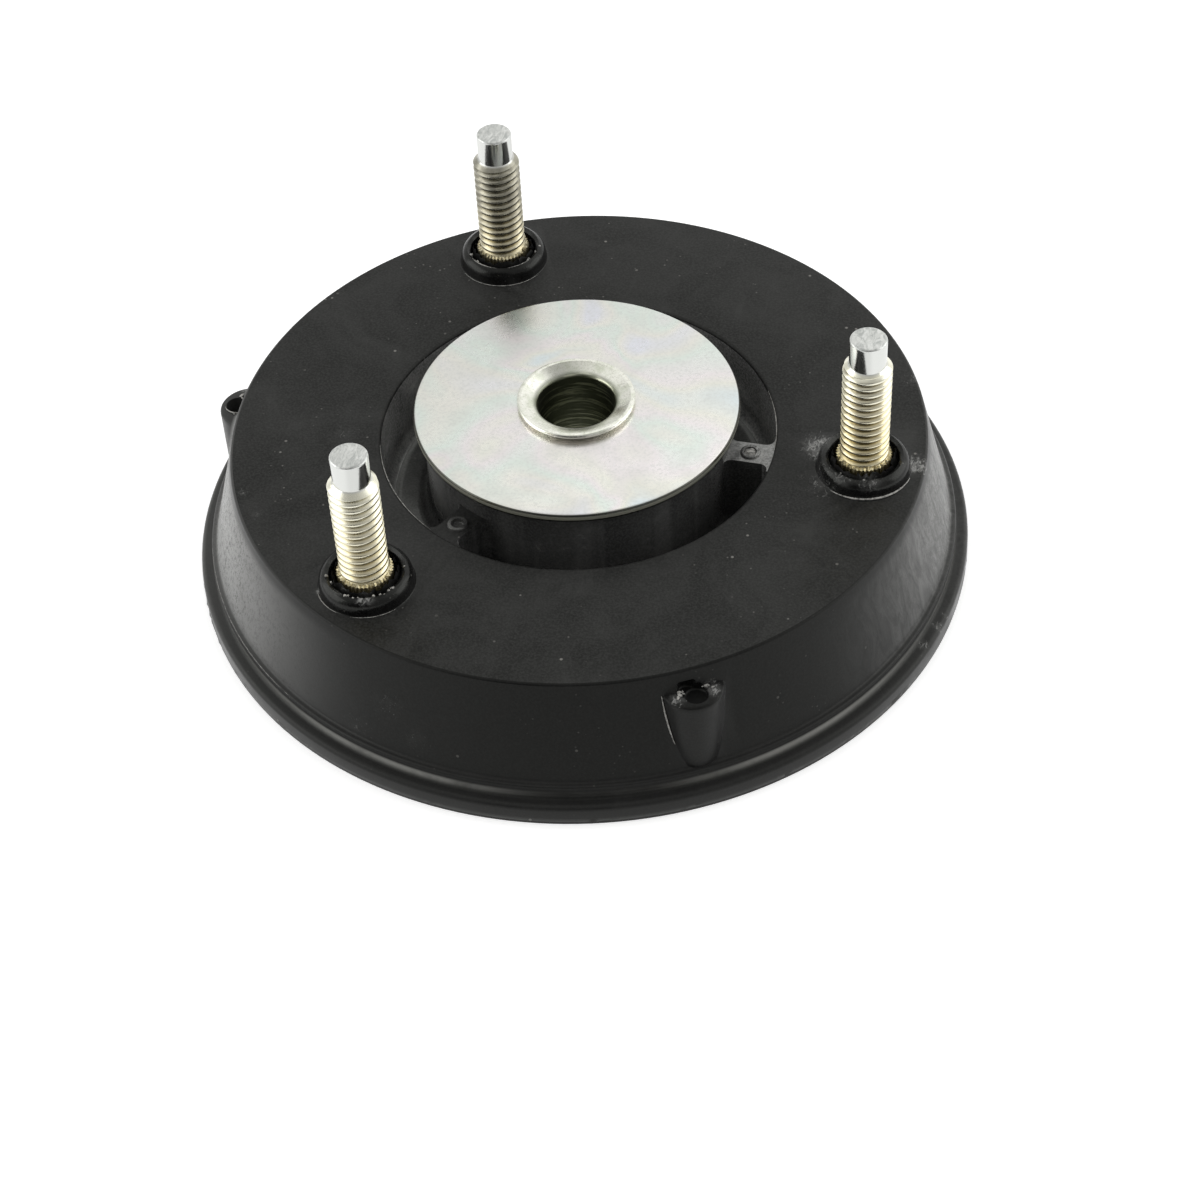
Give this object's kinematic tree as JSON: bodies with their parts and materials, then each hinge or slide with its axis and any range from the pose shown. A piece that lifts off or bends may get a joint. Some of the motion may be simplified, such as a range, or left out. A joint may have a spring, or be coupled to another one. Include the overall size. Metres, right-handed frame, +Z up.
{
  "type": "strut mount",
  "caption": "Bell-shaped bonded-rubber strut top mount with upright threaded studs, a rubber hub on webs and a flared steel sleeve under a plated washer.",
  "frame": {"origin": "on the axis of the sleeve, at the underside of the lip", "axes": "+Z up along the studs and the sleeve, +X through one stud"},
  "size_m": [0.164, 0.164, 0.0638],
  "materials": {
    "rubber": "satin black moulded rubber, glossy in the pocket and on the collars",
    "painted_steel": "black primer on pressed steel",
    "stud_steel": "bright zinc with a yellow tint",
    "sleeve_steel": "zinc-plated turned steel",
    "washer_steel": "bright zinc plate with a faint rainbow tint"
  },
  "bodies": {
    "root": {"rubber_body": "rubber", "carrier_plate": "painted_steel", "studs": "stud_steel", "inner_sleeve": "sleeve_steel", "upper_washer": "washer_steel", "lower_washer": "washer_steel"}
  },
  "joints": []
}
